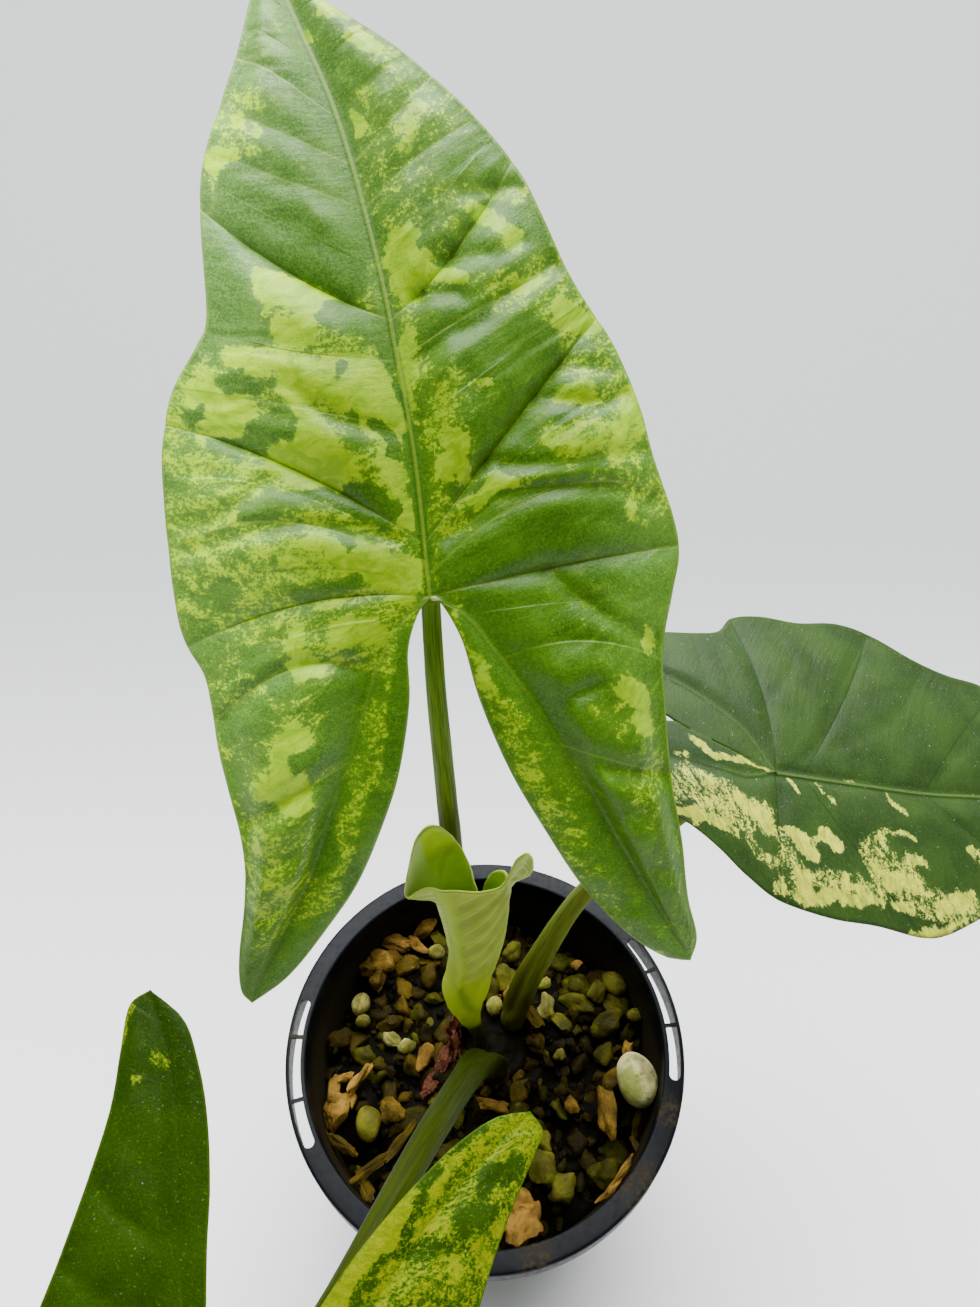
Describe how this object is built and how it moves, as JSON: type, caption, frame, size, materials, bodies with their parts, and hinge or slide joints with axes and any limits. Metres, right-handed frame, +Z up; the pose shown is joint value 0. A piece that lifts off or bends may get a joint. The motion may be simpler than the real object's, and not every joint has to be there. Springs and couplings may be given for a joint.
{
  "type": "potted alocasia",
  "caption": "Arrow-leaved variegated aroid in a round black nursery pot of bark mix, with a new leaf still rolled up.",
  "frame": {"origin": "middle of the flat underside of the pot", "axes": "+Z up along the pot's axis, -Y towards the viewer of the picture, +X to the viewer's right"},
  "size_m": [0.223, 0.2616, 0.3066],
  "materials": {
    "pot_plastic": "black moulded plastic, satin, dusty at the rim",
    "bark_mix": "damp bark, pumice and pebbles, matt",
    "crown": "brown corky crown with papery old sheath",
    "stem": "smooth olive green, faintly streaked, satin",
    "blade_light": "waxy quilted green with lime variegation, soft gloss",
    "blade_dark": "waxy dark green with cream to yellow variegation",
    "new_leaf": "pale lime, soft, fine veins"
  },
  "bodies": {
    "root": {"pot": "pot_plastic", "potting_mix": "bark_mix", "corm": "crown", "petiole_tall": "stem", "petiole_right": "stem", "petiole_front": "stem", "blade_tall": "blade_light", "blade_right": "blade_dark", "blade_front": "blade_dark", "unfurling_leaf": "new_leaf"}
  },
  "joints": []
}
